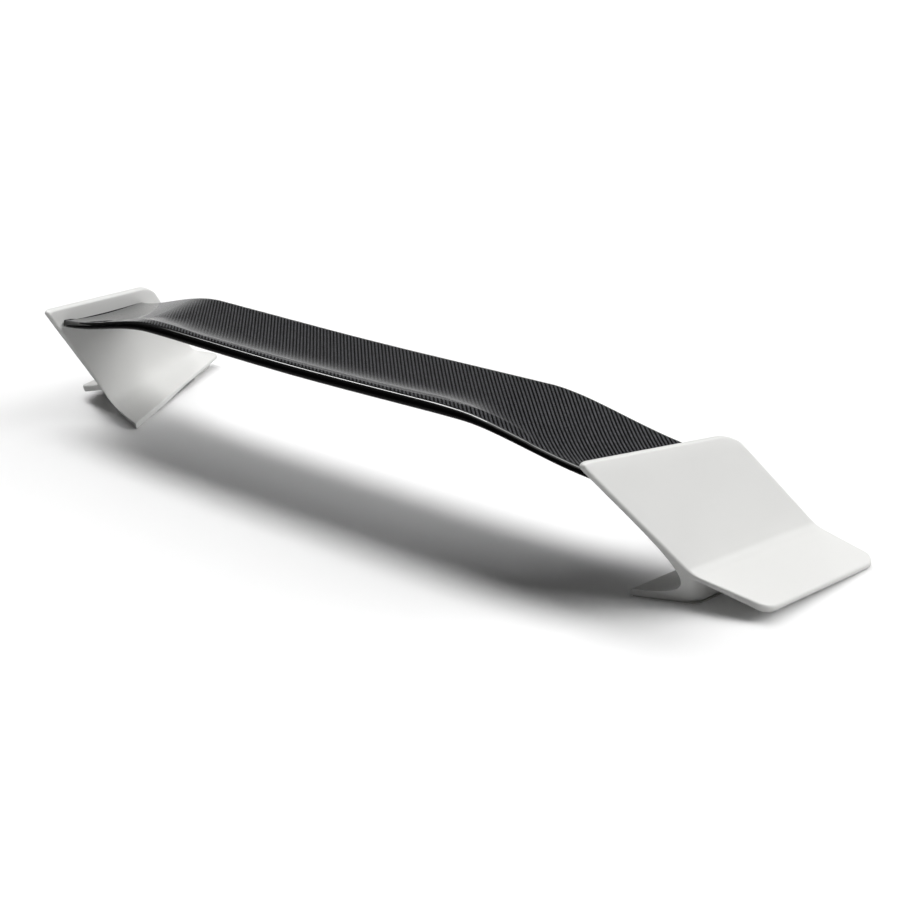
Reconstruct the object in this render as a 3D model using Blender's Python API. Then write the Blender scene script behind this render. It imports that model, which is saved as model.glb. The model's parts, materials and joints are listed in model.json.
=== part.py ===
"""Boot-lid rear wing: a hollow carbon blade carried between two moulded stands.

Metres, +Z up, +X to the car's right, +Y forwards. The feet stand on z = 0 and
the part is symmetric about x = 0. Each stand is an upside-down Y in section:
a raked fin, an outboard winglet and an inboard foot that meet along the kink.
"""
import math

import bmesh
import bpy
import numpy as np
from mathutils import Vector

# Stand: the kink line where fin, winglet and foot meet
KINK_SPACING = 1.156
KINK_REAR_Y = -0.0679
KINK_LENGTH = 0.229
KINK_TOE_OUT = 0.045
KINK_HEIGHT_REAR = 0.0536
KINK_HEIGHT_FRONT = 0.0330

# Stand: the fin above the kink
FIN_RISE = 0.1904
FIN_LEAN_IN = 0.068
FIN_RAKE_BACK = 0.126
FIN_TOP_LENGTH = 0.2455
FIN_TOP_FALL = 0.0475
FIN_THICKNESS = 0.012
EDGE_ROUND = 0.0045
EDGE_LEAST = 0.45

# Stand: the winglet outboard of the kink
WINGLET_REACH_REAR = 0.0974
WINGLET_DROP = 0.0337
WINGLET_SWEEP_REAR = 0.0273
WINGLET_REACH_FRONT = 0.0887
WINGLET_SWEEP_FRONT = 0.0044
WINGLET_THICKNESS = 0.012
KINK_FILLET = 0.012

# Stand: the foot inboard of the kink
FOOT_REACH_REAR = 0.086
FOOT_REACH_FRONT = 0.0415
FOOT_SET_BACK = 0.006
FOOT_LEAD = 0.0325
FOOT_EDGE_REAR = 0.011
FOOT_EDGE_FRONT = 0.0217
FOOT_UNDERCUT = 0.004
FOOT_RAKE = 0.018
FOOT_CORNER = 0.007
FOOT_TOE_ROUND = 0.014
FLARE_START = 0.42
FLARE_AIM = 1.15
FLARE_TOE = 1.034
FLARE_LIFT = 0.0122
FLARE_FORWARD = 0.006

# Stand: plan corners, walls and hollows
CORNER_REAR = 0.016
CORNER_FRONT = 0.024
SHELL_WALL = 0.0022
FOOT_WALL = 0.004
FOOT_RIM = 0.009
BASE_LEDGE = 0.004
BASE_OVERHANG = 0.08
POCKET_HEADROOM = 0.012
POCKET_REAR = 0.17
POCKET_FRONT = 0.66
NECK_TOP = 0.95
WEB_TURN = 0.8
FLANGE_HEADROOM = 0.001
STATION_TURNS = (0, 16, 32, 50, 70, 90)
MIDDLE_STATIONS = (0.3, 0.5, 0.7)
FLARE_POINTS = 9

# Stand: hardware
GASKET_THICKNESS = 0.002
GASKET_INSET = 0.001
BASE_THICKNESS = 0.004
BRACKET_THICKNESS = 0.003
BRACKET_END_GAP = 0.004
FLANGE_WIDTH = 0.018
NUT_ACROSS_FLATS = 0.010
NUT_HEIGHT = 0.005
BOLT_HOLE = 0.0066
NUT_STATIONS = (0.50, 0.27)

# Blade: plan and height of its edges
BLADE_LEAD_Y_CENTRE = 0.0026
BLADE_LEAD_Y_TIP = 0.0326
BLADE_TRAIL_Y_CENTRE = -0.1674
BLADE_TRAIL_Y_TIP = -0.1589
BLADE_LEAD_HEIGHT = 0.2228
BLADE_TRAIL_HEIGHT = 0.2390
CENTRE_DIP = 0.0023
LEAD_DROOP = 0.0623
TRAIL_DROOP = 0.0331
DROOP_START = 0.593
LEAD_SWEEP_POWER = 6
TRAIL_SWEEP_POWER = 2
LEAD_DROOP_END = 1.10
TRAIL_DROOP_END = 1.027

# Blade: section
NOSE_HALF = 0.007
NOSE_LENGTH = 0.012
TRAIL_HALF = 0.0045
TRAIL_ROUND = 0.0055
LIP_HEEL_ROUND = 0.0035
UPPER_HOLLOW = 0.002
LOWER_BELLY = 0.012
BELLY_FORWARD = 0.8
LIP_HEIGHT = 0.008
LIP_BAND = 0.013
LIP_RAMP = 0.022
LIP_FADE_START = 0.484
LIP_FADE_END = 0.79
LIP_TIP_HEIGHT = 0.003
NOSE_TURNS = (12, 30, 50, 70, 90)
RAMP_PLACES = (0.25, 0.5, 0.75, 1.0)
LEVEL_SHARES = (0.0, 0.24, 0.42)
DROOP_FIRST = 0.54
DROOP_LAST = 0.98
DROOP_SECTIONS = 9
SHARE_GAP = 0.01
SKIN_WALL = 0.002

# Blade: inner structure and end joint
FRONT_SPAR_PLACE = 0.28
REAR_SPAR_PLACE = 0.72
SPAR_THICKNESS = 0.004
RIB_RECESS = 0.001
RIB_THICKNESS = 0.010
RIB_REACH = (0.10, 0.90)
TIP_GASKET_THICKNESS = 0.0015
TIP_GASKET_INSET = 0.001
TIP_GASKET_REACH = (0.03, 0.985)
SCREW_PLACES = (0.42, 0.66)
SCREW_RISE = 0.003
SCREW_DIAMETER = 0.006
SCREW_HEAD_DIAMETER = 0.010
SCREW_HEAD_HEIGHT = 0.0024
SCREW_SOCKET = 0.004
SCREW_SOCKET_DEPTH = 0.0015
WASHER_DIAMETER = 0.014
WASHER_THICKNESS = 0.0008
INSERT_DIAMETER = 0.009
INSERT_LENGTH = 0.010

# Clearance between pieces that touch, and around a screw in its hole
CLEAR = 0.0003
HOLE_CLEAR = 0.0004
BOND_LINE = 0.0007
CUT_PAST = 0.004
ROUND_SIDES = 20
ROWS = ("front", "rear")


def remove_old_objects():
    """Empty the scene before the part is built."""
    for old in list(bpy.data.objects):
        bpy.data.objects.remove(old, do_unlink=True)


def new_collection(name):
    """Link a new collection to the scene."""
    collection = bpy.data.collections.new(name)
    bpy.context.scene.collection.children.link(collection)
    return collection


def new_material(name, colour, roughness, metallic=0.0, coat=0.0):
    """Make a Principled material."""
    material = bpy.data.materials.new(name)
    material.use_nodes = True
    shader = material.node_tree.nodes["Principled BSDF"]
    shader.inputs["Base Color"].default_value = (*colour, 1.0)
    shader.inputs["Roughness"].default_value = roughness
    shader.inputs["Metallic"].default_value = metallic
    shader.inputs["Coat Weight"].default_value = coat
    return material


remove_old_objects()
PARTS = new_collection("rear_wing")
CUTTERS = new_collection("cutters")
MATERIALS = {
    "carbon": new_material("carbon_twill", (0.025, 0.026, 0.028), 0.25, coat=1.0),
    "paint": new_material("white_paint", (0.86, 0.86, 0.85), 0.38),
    "laminate": new_material("spar_laminate", (0.05, 0.05, 0.055), 0.6),
    "nylon": new_material("nylon_rib", (0.10, 0.10, 0.10), 0.55),
    "brass": new_material("brass_insert", (0.78, 0.60, 0.30), 0.35, metallic=1.0),
    "rubber": new_material("rubber_gasket", (0.03, 0.03, 0.03), 0.85),
    "steel": new_material("zinc_steel", (0.62, 0.62, 0.60), 0.35, metallic=1.0),
    "aluminium": new_material("aluminium_plate", (0.75, 0.76, 0.77), 0.4, metallic=1.0),
}


def unit(vector):
    """Scale a vector to length one."""
    return np.asarray(vector, dtype=float) / np.linalg.norm(vector)


def smooth(value):
    """Ease from 0 to 1 with level ends."""
    held = min(max(value, 0.0), 1.0)
    return held * held * (3.0 - 2.0 * held)


def bezier(start, control, end, count):
    """Sample a quadratic curve, both ends included."""
    steps = np.linspace(0.0, 1.0, count)
    return [(1 - u) ** 2 * start + 2 * u * (1 - u) * control + u * u * end for u in steps]


def cubic(start, first, second, end, count):
    """Sample a cubic curve, both ends included."""
    steps = np.linspace(0.0, 1.0, count)
    return [(1 - u) ** 3 * start + 3 * u * (1 - u) ** 2 * first + 3 * u * u * (1 - u) * second + u ** 3 * end
            for u in steps]


def add_object(name, mesh, material, collection=None):
    """Link a mesh as an object with one material."""
    piece = bpy.data.objects.new(name, mesh)
    if material:
        mesh.materials.append(MATERIALS[material])
    (collection or PARTS).objects.link(piece)
    return piece


def mesh_from(name, build):
    """Make a closed mesh with its faces out from a bmesh builder."""
    shape = bmesh.new()
    build(shape)
    bmesh.ops.recalc_face_normals(shape, faces=shape.faces)
    mesh = bpy.data.meshes.new(name)
    shape.to_mesh(mesh)
    shape.free()
    mesh.shade_smooth()
    mesh.set_sharp_from_angle(angle=math.radians(32))
    return mesh


def loft(sections):
    """Return a builder that skins a row of closed outlines and fills both ends."""
    def build(shape):
        rings = [[shape.verts.new(point) for point in outline] for outline in sections]
        count = len(rings[0])
        for near, far in zip(rings, rings[1:]):
            for index in range(count):
                after = (index + 1) % count
                shape.faces.new((near[index], near[after], far[after], far[index]))
        bmesh.ops.triangulate(shape, faces=shape.faces, quad_method="SHORT_EDGE")
        for ring in (rings[0], rings[-1]):
            rim = [shape.edges.get(pair) for pair in zip(ring, ring[1:] + ring[:1])]
            bmesh.ops.triangle_fill(shape, edges=rim, use_beauty=True)
    return build


def add_loft(name, sections, material, collection=None):
    """Add a lofted piece."""
    return add_object(name, mesh_from(name, loft(sections)), material, collection)


def rod(start, end, diameter, sides):
    """Return a builder for a straight bar between two points."""
    def build(shape):
        along = Vector(end - start)
        turn = along.to_track_quat("Z", "Y").to_matrix().to_4x4()
        turn.translation = Vector((start + end) / 2)
        bmesh.ops.create_cone(
            shape, cap_ends=True, segments=sides, radius1=diameter / 2,
            radius2=diameter / 2, depth=along.length, matrix=turn)
    return build


def add_rod(name, start, end, diameter, material, sides=ROUND_SIDES):
    """Add a straight round or hexagonal bar."""
    return add_object(name, mesh_from(name, rod(start, end, diameter, sides)), material)


def add_cutter(name, mesh):
    """Add a cutter that stays out of the finished part."""
    cutter = add_object(name, mesh, None, CUTTERS)
    cutter.hide_render = True
    cutter.display_type = "WIRE"
    return cutter


def add_rod_cutter(name, start, end, diameter, sides=ROUND_SIDES):
    """Add a straight bar as a cutter."""
    return add_cutter(name, mesh_from(name, rod(start, end, diameter, sides)))


def cut(piece, cutter):
    """Take a cutter away from a piece."""
    modifier = piece.modifiers.new("cut_" + cutter.name, "BOOLEAN")
    modifier.operation = "DIFFERENCE"
    modifier.solver = "EXACT"
    modifier.object = cutter


class Stand:
    """One stand's reference points and planes, on the right for side 1 and the left for -1."""

    def __init__(self, side):
        self.side = side
        self.name = "right" if side > 0 else "left"
        flip = np.array((side, 1.0, 1.0))
        kink_x = KINK_SPACING / 2
        kink_rear = np.array((kink_x, KINK_REAR_Y, KINK_HEIGHT_REAR))
        kink_front = kink_rear + (KINK_TOE_OUT, KINK_LENGTH, KINK_HEIGHT_FRONT - KINK_HEIGHT_REAR)
        top_rear = kink_rear + (-FIN_LEAN_IN, -FIN_RAKE_BACK, FIN_RISE)
        normal = unit(np.cross(kink_front - kink_rear, top_rear - kink_rear))
        top_front = top_rear + (0.0, FIN_TOP_LENGTH, -FIN_TOP_FALL)
        top_front[0] -= normal @ (top_front - top_rear) / normal[0]
        tip_rear = kink_rear + (WINGLET_REACH_REAR, WINGLET_SWEEP_REAR, -WINGLET_DROP)
        wing_normal = unit(np.cross(tip_rear - kink_rear, kink_front - kink_rear))
        tip_front = kink_front + (WINGLET_REACH_FRONT, WINGLET_SWEEP_FRONT, 0.0)
        tip_front[2] -= wing_normal @ (tip_front - kink_rear) / wing_normal[2]
        foot_rear = np.array((kink_x - FOOT_REACH_REAR, KINK_REAR_Y - FOOT_SET_BACK, FOOT_EDGE_REAR))
        foot_front = np.array((kink_front[0] - FOOT_REACH_FRONT, kink_front[1] + FOOT_LEAD,
                               FOOT_EDGE_FRONT))
        self.ends = {
            "kink": (kink_rear * flip, kink_front * flip),
            "top": (top_rear * flip, top_front * flip),
            "tip": (tip_rear * flip, tip_front * flip),
            "foot": (foot_rear * flip, foot_front * flip),
        }
        self.out = normal * flip * math.copysign(1.0, normal[0])
        self.wing_up = wing_normal * flip * math.copysign(1.0, wing_normal[2])
        self.length = float(np.linalg.norm(kink_front - kink_rear))
        self.base_z = GASKET_THICKNESS + CLEAR

    def at(self, line, share):
        """Point on one of the stand's lines, from 0 at the rear to 1 at the front."""
        rear, front = self.ends[line]
        return rear + (front - rear) * share

    def mitre(self, share, from_fin, from_wing):
        """Step inside a section's plane to given offsets from the fin's and winglet's planes."""
        kink = self.at("kink", share)
        across = unit(np.cross(self.at("top", share) - kink, self.at("tip", share) - kink))
        planes = np.array((self.out, self.wing_up, across))
        return np.linalg.solve(planes, (from_fin, from_wing, 0.0))

    def fin(self, share, down, offset):
        """Point on the fin: along it, down from its top (0) to the kink (1), and off its plane."""
        top = self.at("top", share)
        return top + (self.at("kink", share) - top) * down + self.out * offset

    def fin_plane_x(self, y, z, offset):
        """X where a plane parallel to the fin passes a given y and z."""
        point = self.ends["kink"][0] + self.out * offset
        rest = self.out[1] * (y - point[1]) + self.out[2] * (z - point[2])
        return point[0] - rest / self.out[0]

    def pedestal_corner(self, share):
        """Lowest outboard point of the foot."""
        wall_top = self.at("kink", share) + self.mitre(share, -CLEAR / 2, -WINGLET_THICKNESS / 2)
        corner = wall_top + np.array((-self.side * FOOT_UNDERCUT, FOOT_RAKE * (1.0 - share), 0.0))
        corner[2] = self.base_z
        return corner

    def flare(self, share, half_fin, foot):
        """Curve from the fin's inboard face down and out to the foot's inboard edge."""
        kink = self.at("kink", share)
        reach = abs(kink[0] - foot[0])
        toe_x = foot[0] + self.side * reach * FLARE_TOE
        toe = np.array((toe_x, kink[1] + FLARE_FORWARD * (1.0 - share), foot[2] + FLARE_LIFT))
        start = self.fin(share, FLARE_START, -half_fin)
        aim = self.fin(share, FLARE_AIM, -half_fin)
        return cubic(start, aim, toe, foot, FLARE_POINTS)


def round_off(distance, radius):
    """How far a rounded plan corner draws an edge in at a distance from the end."""
    near = max(radius - distance, 0.0)
    return radius - math.sqrt(max(radius ** 2 - near ** 2, 0.0))


def corner_cut(distance_rear, distance_front):
    """How far the rounded rear and front corners draw the fin's top and the winglet's tip in."""
    return round_off(distance_rear, CORNER_REAR) + round_off(distance_front, CORNER_FRONT)


def edge_share(distance):
    """Share of the full thickness left near a rounded end."""
    if distance >= EDGE_ROUND:
        return 1.0
    return EDGE_LEAST + (1.0 - EDGE_LEAST) * math.sqrt(1.0 - (1.0 - distance / EDGE_ROUND) ** 2)


def stand_stations(stand):
    """Distances along the kink at which sections are taken, closer at the rounded ends."""
    turn = [math.radians(angle) for angle in STATION_TURNS]
    rear = [CORNER_REAR * (1 - math.cos(angle)) for angle in turn]
    front = [stand.length - CORNER_FRONT * (1 - math.cos(angle)) for angle in reversed(turn)]
    middle = [stand.length * part for part in MIDDLE_STATIONS]
    return rear + middle + front


def edge_arc(edge, inwards, offset, seam):
    """Rounded edge from the seam to a face, and the seam points behind it."""
    face, back = [], []
    for angle in (30, 60, 90):
        turn = math.radians(angle)
        step = inwards * EDGE_ROUND * (1 - math.cos(turn))
        face.append(edge + step + seam + (offset - seam) * math.sin(turn))
        back.append(edge + step * (angle > 30) + seam)
    return face, back


def outer_section(stand, distance):
    """Outline of the outer shell: fin's outboard half and the whole winglet."""
    share = distance / stand.length
    thin = edge_share(min(distance, stand.length - distance))
    draw_in = corner_cut(distance, stand.length - distance)
    half_fin = FIN_THICKNESS / 2 * thin
    half_wing = WINGLET_THICKNESS / 2 * thin
    kink = stand.at("kink", share)
    down = unit(kink - stand.at("top", share))
    outboard = unit(stand.at("tip", share) - kink)
    top = stand.at("top", share) + down * draw_in
    tip = stand.at("tip", share) - outboard * draw_in
    seam = stand.out * CLEAR / 2
    corner = kink + stand.mitre(share, half_fin, half_wing)
    root = kink + stand.mitre(share, CLEAR / 2, -half_wing)
    fillet = bezier(corner - down * KINK_FILLET, corner, corner + outboard * KINK_FILLET, 4)
    face, back = edge_arc(top, down, stand.out * half_fin, seam)
    behind = kink - down * KINK_FILLET + seam
    face += fillet
    back += [behind, (behind + root) / 2, root, root + outboard * KINK_FILLET]
    for angle in (90, 55, 20):
        turn = math.radians(angle)
        edge = tip - outboard * EDGE_ROUND * (1 - math.cos(turn))
        face.append(edge + stand.wing_up * half_wing * math.sin(turn))
        back.append(edge - stand.wing_up * half_wing * math.sin(turn))
    return face + back[::-1]


def inner_section(stand, distance):
    """Outline of the inner shell: fin's inboard half and the flared foot."""
    share = distance / stand.length
    thin = edge_share(min(distance, stand.length - distance))
    draw_in = corner_cut(distance, stand.length - distance)
    half_fin = FIN_THICKNESS / 2 * thin
    kink = stand.at("kink", share)
    down = unit(kink - stand.at("top", share))
    top = stand.at("top", share) + down * draw_in
    seam = -stand.out * CLEAR / 2
    foot, pedestal = foot_sole(stand, share)
    foot_low = np.array((foot[0], foot[1], stand.base_z))
    wall_top = kink + stand.mitre(share, -CLEAR / 2, -WINGLET_THICKNESS / 2 * thin)
    face, back = edge_arc(top, down, -stand.out * half_fin, seam)
    face += stand.flare(share, half_fin, foot)
    face.append(foot_low)
    behind = stand.fin(share, FLARE_START, -CLEAR / 2)
    back += [behind + (wall_top - behind) * part for part in (0.0, 0.4, 0.7, 1.0)]
    heel = pedestal - np.array((stand.side * FOOT_CORNER, 0.0, 0.0))
    back += bezier(pedestal + unit(wall_top - pedestal) * FOOT_CORNER, pedestal, heel, 4)
    back += [heel + (foot_low - heel) * part for part in (0.45, 0.8)]
    return face + back[::-1]


def foot_sole(stand, share):
    """The two edges of the foot's underside, inboard then outboard."""
    distance = share * stand.length
    inboard = stand.at("foot", share)
    outboard = stand.pedestal_corner(share)
    across = unit((outboard - inboard) * (1.0, 1.0, 0.0))
    toe_in = round_off(stand.length - distance, FOOT_TOE_ROUND)
    return inboard + across * toe_in, outboard - across * round_off(distance, CORNER_REAR)


def pocket_top(stand, share):
    """How far down the fin its hollow starts, so as to hold the blade's screws."""
    front, rear = screw_points(stand)
    top = stand.at("top", share)
    depth = stand.at("kink", share) - top
    grid = np.column_stack((depth, rear - front, stand.out))
    down = np.linalg.solve(grid, rear - top)[0]
    return down - POCKET_HEADROOM / np.linalg.norm(depth)


def gasket_section(stand, distance):
    """Section of the foot gasket, drawn in a little from the foot's edges."""
    reach = GASKET_INSET + (stand.length - 2 * GASKET_INSET) * distance / stand.length
    inset = np.array((stand.side * GASKET_INSET, 0.0, 0.0))
    inboard, outboard = foot_sole(stand, reach / stand.length)
    edges = (inboard + inset, outboard - inset)
    return [np.array((edges[side][0], edges[side][1], z)) for side, z in
            ((0, 0.0), (0, GASKET_THICKNESS), (1, GASKET_THICKNESS), (1, 0.0))]


def base_outline(stand, inset, z):
    """Four corners of the base plate, which covers the hollow part of the foot."""
    corners = []
    for share, order in ((POCKET_REAR - BASE_OVERHANG, 1), (POCKET_FRONT + BASE_OVERHANG, -1)):
        side_step = np.array((stand.side * (FOOT_RIM + inset), 0.0, 0.0))
        pair = [stand.at("foot", share) + side_step, stand.pedestal_corner(share) - side_step]
        middle = (pair[0][1] + pair[1][1]) / 2 + inset * order
        corners += [np.array((point[0], middle, z)) for point in pair[::order]]
    return corners


def bracket_path(stand, share):
    """Middle line of the bent bracket: fin top, kink, foot of its web, end of its flange."""
    offset = -SHELL_WALL + FIN_THICKNESS / 2
    place = -(offset - CLEAR - BRACKET_THICKNESS / 2)
    flange_z = stand.base_z + BASE_THICKNESS + CLEAR + BRACKET_THICKNESS / 2
    web_foot = stand.pedestal_corner(share)
    web_foot[0] -= stand.side * (FOOT_RIM + BASE_LEDGE + BRACKET_THICKNESS / 2 + CLEAR)
    web_foot[2] = flange_z
    flange_end = web_foot - np.array((stand.side * FLANGE_WIDTH, 0.0, 0.0))
    top = stand.fin(share, pocket_top(stand, share) + BRACKET_END_GAP / FIN_RISE, place)
    kink = stand.fin(share, 1.0 - BRACKET_END_GAP / FIN_RISE, place)
    return [top, kink, web_foot, flange_end]


def thicken(path, thickness):
    """Outline of a bent strip: a path moved half its thickness to either side."""
    normals = [unit(np.cross(end - start, (0.0, 1.0, 0.0))) for start, end in zip(path, path[1:])]
    face, back = [], []
    for point, near, far in zip(path, normals[:1] + normals, normals + normals[-1:]):
        step = (near + far) / (1.0 + near @ far) * thickness / 2
        face.append(point + step)
        back.append(point - step)
    return face + back[::-1]


def cavity_section(stand, share):
    """Hollow inside the inner shell: fin pocket, neck at the kink and open-bottomed foot."""
    deep = FIN_THICKNESS / 2 - SHELL_WALL
    path = bracket_path(stand, share)
    room = BRACKET_THICKNESS / 2 + 3 * CLEAR
    low = stand.base_z + BASE_THICKNESS - CLEAR
    roof = low + CLEAR * 3 + BRACKET_THICKNESS + NUT_HEIGHT + FLANGE_HEADROOM
    flange_x = path[3][0] - stand.side * FLANGE_HEADROOM
    aside = np.array((stand.side * room, 0.0, 0.0))
    top = pocket_top(stand, share)
    waist = (top + NECK_TOP) / 2
    neck = path[1] + stand.out * (room + 2 * CLEAR)
    web = np.array((path[2][0] + stand.side * room, path[2][1], low))
    inboard = [
        stand.fin(share, top, -deep),
        stand.fin(share, waist, -deep),
        path[1] - aside,
        path[1] + (path[2] - path[1]) * WEB_TURN - aside,
        np.array((flange_x, path[3][1], roof)),
        np.array((flange_x, path[3][1], low)),
    ]
    outboard = [
        stand.fin(share, top, FOOT_WALL),
        stand.fin(share, waist, FOOT_WALL),
        stand.fin(share, NECK_TOP, FOOT_WALL),
        neck,
        (neck + web) / 2,
        web,
    ]
    return inboard + outboard[::-1]


def lead_edge(share):
    """Height and place of the leading edge, share 0 at mid-span and 1 at the tip."""
    y = BLADE_LEAD_Y_CENTRE + (BLADE_LEAD_Y_TIP - BLADE_LEAD_Y_CENTRE) * share ** LEAD_SWEEP_POWER
    fall = smooth((share - DROOP_START) / (LEAD_DROOP_END - DROOP_START))
    return y, BLADE_LEAD_HEIGHT + CENTRE_DIP * smooth(share / DROOP_START) - LEAD_DROOP * fall


def trail_edge(share):
    """Height and place of the trailing edge's middle."""
    y = BLADE_TRAIL_Y_CENTRE + (BLADE_TRAIL_Y_TIP - BLADE_TRAIL_Y_CENTRE) * share ** TRAIL_SWEEP_POWER
    fall = smooth((share - DROOP_START) / (TRAIL_DROOP_END - DROOP_START))
    return y, BLADE_TRAIL_HEIGHT + CENTRE_DIP * smooth(share / DROOP_START) - TRAIL_DROOP * fall


class BladeSection:
    """Blade section at a share of the half span, negative on the left."""

    def __init__(self, share):
        self.share = share
        lead = lead_edge(abs(share))
        trail = trail_edge(abs(share))
        self.lead = np.array(lead)
        self.chord = float(np.hypot(trail[0] - lead[0], trail[1] - lead[1]))
        self.run = (np.array(trail) - self.lead) / self.chord
        self.up = np.array((self.run[1], -self.run[0]))
        self.lip = 1.0 - smooth((abs(share) - LIP_FADE_START) / (LIP_FADE_END - LIP_FADE_START))
        self.lip_height = LIP_TIP_HEIGHT + (LIP_HEIGHT - LIP_TIP_HEIGHT) * self.lip

    def nose(self, back):
        """Half thickness of the rounded nose at a distance behind the leading edge."""
        near = 1.0 - min(back / NOSE_LENGTH, 1.0)
        return NOSE_HALF * math.sqrt(1.0 - near * near)

    def upper(self, back):
        """Height of the top over the chord line."""
        share = back / self.chord
        ramp = (back - (self.chord - LIP_BAND - LIP_RAMP)) / LIP_RAMP
        level = self.nose(back) + (TRAIL_HALF - NOSE_HALF) * share
        return level - UPPER_HOLLOW * math.sin(math.pi * share) + self.lip_height * smooth(ramp)

    def lower(self, back):
        """Height of the underside over the chord line, negative."""
        share = back / self.chord
        level = self.nose(back) + (TRAIL_HALF - NOSE_HALF) * share
        return -level - LOWER_BELLY * math.sin(math.pi * share ** BELLY_FORWARD)

    def place(self, back, height):
        """World point from a place in the section."""
        y, z = self.lead + self.run * back + self.up * height
        tip = FIN_THICKNESS / 2 + TIP_GASKET_THICKNESS + 2 * CLEAR
        return np.array((self.share * RIGHT.fin_plane_x(y, z, -tip), y, z))

    def places(self):
        """Distances behind the leading edge at which the skins have points."""
        nose = [NOSE_LENGTH * (1 - math.cos(math.radians(a))) for a in NOSE_TURNS]
        ramp = self.chord - LIP_BAND - LIP_RAMP
        middle = list(np.linspace(NOSE_LENGTH, ramp, 7))[1:]
        lip = [ramp + LIP_RAMP * part for part in RAMP_PLACES]
        return nose + middle + lip

    def upper_skin(self):
        """Closed outline of the upper skin."""
        outer = [(0.0, CLEAR / 2)] + [(b, self.upper(b)) for b in self.places()]
        outer.append((self.chord, self.upper(self.chord)))
        return self.wall(outer, -1.0)

    def lower_skin(self):
        """Closed outline of the lower skin, which carries the blunt trailing edge."""
        turns = [math.radians(angle) for angle in (0, 30, 60, 90)]
        curve = TRAIL_ROUND + LIP_HEEL_ROUND * self.lip
        low = curve - TRAIL_HALF
        heel = [(self.chord - curve * (1 - math.cos(a)), low - curve * math.sin(a)) for a in turns]
        last = self.chord - LIP_BAND + CLEAR
        under = [(b, self.lower(b)) for b in self.places() if b < last]
        outer = [(0.0, -CLEAR / 2)] + under + heel[::-1]
        outer.append((self.chord, self.upper(self.chord) - SKIN_WALL - CLEAR))
        return self.wall(outer, 1.0)

    def wall(self, outer, side):
        """Outline of a skin: a chain of points and the same chain one wall further in."""
        chain = np.array(outer)
        run = np.gradient(chain, axis=0)
        run[0] = (0.0, -side)
        run /= np.linalg.norm(run, axis=1)[:, None]
        inner = chain + side * SKIN_WALL * np.column_stack((-run[:, 1], run[:, 0]))
        if side < 0:
            inner[-1] = chain[-1] - (0.0, SKIN_WALL)
        else:
            inner[-1] = chain[-1] - (SKIN_WALL, 0.0)
        return [self.place(*point) for point in list(chain) + list(inner[::-1])]

    def hollow(self, inset, first, last, count):
        """Closed outline inside the skins between two shares of the chord."""
        backs = np.linspace(first, last, count) * self.chord
        top = [(back, self.upper(back) - inset) for back in backs]
        low = [(back, self.lower(back) + inset) for back in backs]
        return [self.place(*point) for point in top + low[::-1]]

    def screw_point(self, place):
        """Point a little over the blade's middle at a share of the chord."""
        back = place * self.chord
        return self.place(back, (self.upper(back) + self.lower(back)) / 2 + SCREW_RISE)


def blade_shares(limit):
    """Shares of the half span at which sections are taken, closer over the drooped ends."""
    half = list(LEVEL_SHARES) + list(np.linspace(DROOP_FIRST, DROOP_LAST, DROOP_SECTIONS))
    half = [share for share in half if share < limit - SHARE_GAP] + [limit]
    return [-share for share in reversed(half)] + half[1:]


def build_blade():
    """Make the skins, the spars and, at each end, the rib and its inserts."""
    sections = [BladeSection(share) for share in blade_shares(1.0)]
    add_loft("blade_upper_skin", [section.upper_skin() for section in sections], "carbon")
    add_loft("blade_lower_skin", [section.lower_skin() for section in sections], "carbon")
    half_span = BladeSection(1.0).place(0.0, 0.0)[0]
    rib_outer = 1.0 - RIB_RECESS / half_span
    rib_inner = rib_outer - RIB_THICKNESS / half_span
    spar_end = rib_inner - CLEAR / half_span * 2
    inset = SKIN_WALL + BOND_LINE
    for name, place in (("front", FRONT_SPAR_PLACE), ("rear", REAR_SPAR_PLACE)):
        webs = []
        for share in blade_shares(spar_end):
            section = BladeSection(share)
            half = SPAR_THICKNESS / 2 / section.chord
            webs.append(section.hollow(inset, place - half, place + half, 2))
        add_loft("blade_%s_spar" % name, webs, "laminate")
    for stand in (RIGHT, LEFT):
        rib = [BladeSection(stand.side * share).hollow(inset, *RIB_REACH, 12)
               for share in (rib_outer, rib_inner)]
        piece = add_loft("blade_end_rib_" + stand.name, rib, "nylon")
        for row, point in zip(ROWS, screw_points(stand)):
            mouth = point - stand.out * (RIB_RECESS + CLEAR)
            inner = mouth - stand.out * INSERT_LENGTH
            reach = stand.out * CUT_PAST
            label = "%s_%s" % (row, stand.name)
            cut(piece, add_rod_cutter("insert_seat_" + label, mouth + reach, inner - reach,
                                      INSERT_DIAMETER + 2 * CLEAR))
            insert = add_rod("blade_threaded_insert_" + label, mouth, inner, INSERT_DIAMETER, "brass")
            cut(insert, add_rod_cutter("insert_bore_" + label, mouth + reach, inner - reach,
                                       SCREW_DIAMETER + 2 * HOLE_CLEAR))


def screw_points(stand):
    """Points where the blade screws cross the blade's end face."""
    tip = BladeSection(stand.side * 1.0)
    return [tip.screw_point(place) for place in SCREW_PLACES]


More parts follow.
